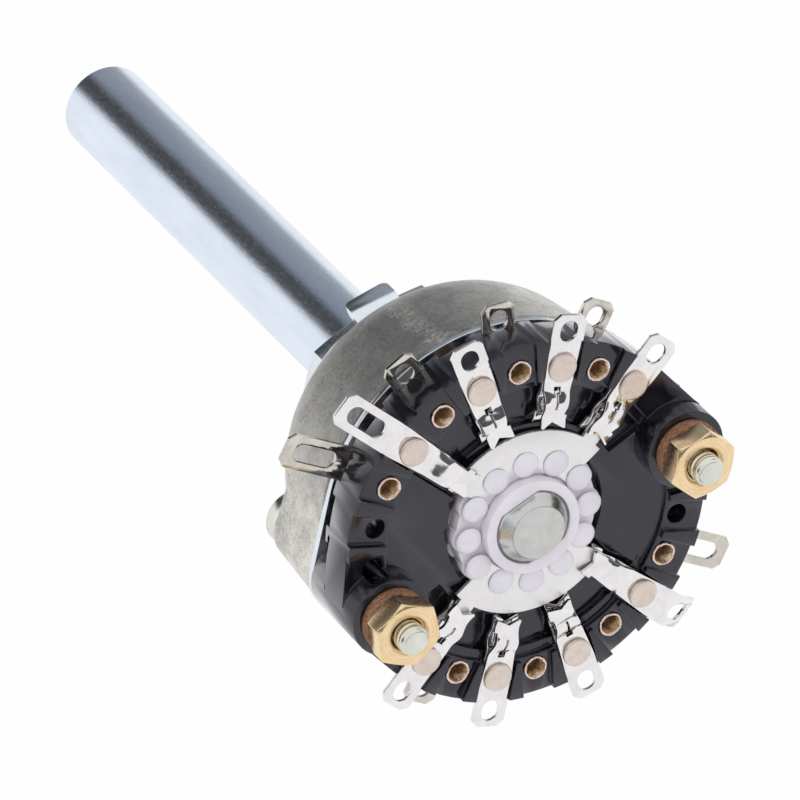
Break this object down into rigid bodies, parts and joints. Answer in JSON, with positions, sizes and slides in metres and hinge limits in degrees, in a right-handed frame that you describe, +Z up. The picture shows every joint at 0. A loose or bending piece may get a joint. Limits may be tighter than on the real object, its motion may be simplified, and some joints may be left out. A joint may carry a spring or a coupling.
{
  "type": "rotary switch",
  "caption": "Open rotary wafer switch with a long round shaft, a threaded bush with nut, a tapered die-cast index housing and silvered clips around a turning contact ring.",
  "frame": {"origin": "on the shaft's axis at the front end of the threaded bush", "axes": "+Y along the shaft's axis from the knob end to the contact wafer, +Z up through the locating tab, X through the two assembly screws"},
  "size_m": [0.0264, 0.0674, 0.0304],
  "materials": {
    "zinc_casting": "raw die casting, faintly mottled, satin",
    "zinc_plate": "bright zinc plated",
    "silver_contact": "silver plated, bright",
    "black_moulding": "moulded, glossy",
    "white_moulding": "moulded, soft sheen",
    "carrier_moulding": "moulded",
    "rivet_brass": "pale copper tint, satin",
    "nut_brass": "turned, bright",
    "brown_fibre": "pressed fibre, rough edge",
    "spring_steel": "drawn wire",
    "ball_steel": "polished"
  },
  "bodies": {
    "body": {"housing": "zinc_casting", "rear_plate": "zinc_plate", "locating_washer": "zinc_plate", "panel_nut": "zinc_plate", "wafer": "black_moulding", "clip_rear_a_common_outer": "silver_contact", "clip_rear_a_common_inner": "silver_contact", "clip_rear_a_way_1_outer": "silver_contact", "clip_rear_a_way_1_inner": "silver_contact", "clip_rear_a_way_2_outer": "silver_contact", "clip_rear_a_way_2_inner": "silver_contact", "clip_rear_a_way_3_outer": "silver_contact", "clip_rear_a_way_3_inner": "silver_contact", "clip_rear_b_common_outer": "silver_contact", "clip_rear_b_common_inner": "silver_contact", "clip_rear_b_way_1_outer": "silver_contact", "clip_rear_b_way_1_inner": "silver_contact", "clip_rear_b_way_2_outer": "silver_contact", "clip_rear_b_way_2_inner": "silver_contact", "clip_rear_b_way_3_outer": "silver_contact", "clip_rear_b_way_3_inner": "silver_contact", "clip_front_a_common_outer": "silver_contact", "clip_front_a_common_inner": "silver_contact", "clip_front_a_way_1_outer": "silver_contact", "clip_front_a_way_1_inner": "silver_contact", "clip_front_a_way_2_outer": "silver_contact", "clip_front_a_way_2_inner": "silver_contact", "clip_front_a_way_3_outer": "silver_contact", "clip_front_a_way_3_inner": "silver_contact", "clip_front_b_common_outer": "silver_contact", "clip_front_b_common_inner": "silver_contact", "clip_front_b_way_1_outer": "silver_contact", "clip_front_b_way_1_inner": "silver_contact", "clip_front_b_way_2_outer": "silver_contact", "clip_front_b_way_2_inner": "silver_contact", "clip_front_b_way_3_outer": "silver_contact", "clip_front_b_way_3_inner": "silver_contact", "clip_rivets": "rivet_brass", "assembly_screws": "zinc_plate", "fibre_washers": "brown_fibre", "brass_nuts": "nut_brass"},
    "spindle": {"shaft": "zinc_plate", "index_carrier": "carrier_moulding", "rotor": "white_moulding", "ring_rear_a": "silver_contact", "ring_rear_b": "silver_contact", "ring_front_a": "silver_contact", "ring_front_b": "silver_contact", "detent_spring_a": "spring_steel", "detent_spring_b": "spring_steel"},
    "ball_a": {"detent_ball_a": "ball_steel"},
    "ball_b": {"detent_ball_b": "ball_steel"}
  },
  "joints": [
    {"name": "shaft_turn", "type": "hinge", "parent": "body", "child": "spindle", "pos_m": [0, 0, 0], "axis": [0, 1, 0], "range_deg": [0, 60]},
    {"name": "ball_a_travel", "type": "slide", "parent": "spindle", "child": "ball_a", "axis": [0.2588, 0, 0.9659], "range_m": [0, 0.0004], "stiffness_N_per_m": 200, "springref_m": 0.001},
    {"name": "ball_b_travel", "type": "slide", "parent": "spindle", "child": "ball_b", "axis": [-0.2588, 0, -0.9659], "range_m": [0, 0.0004], "stiffness_N_per_m": 200, "springref_m": 0.001}
  ]
}
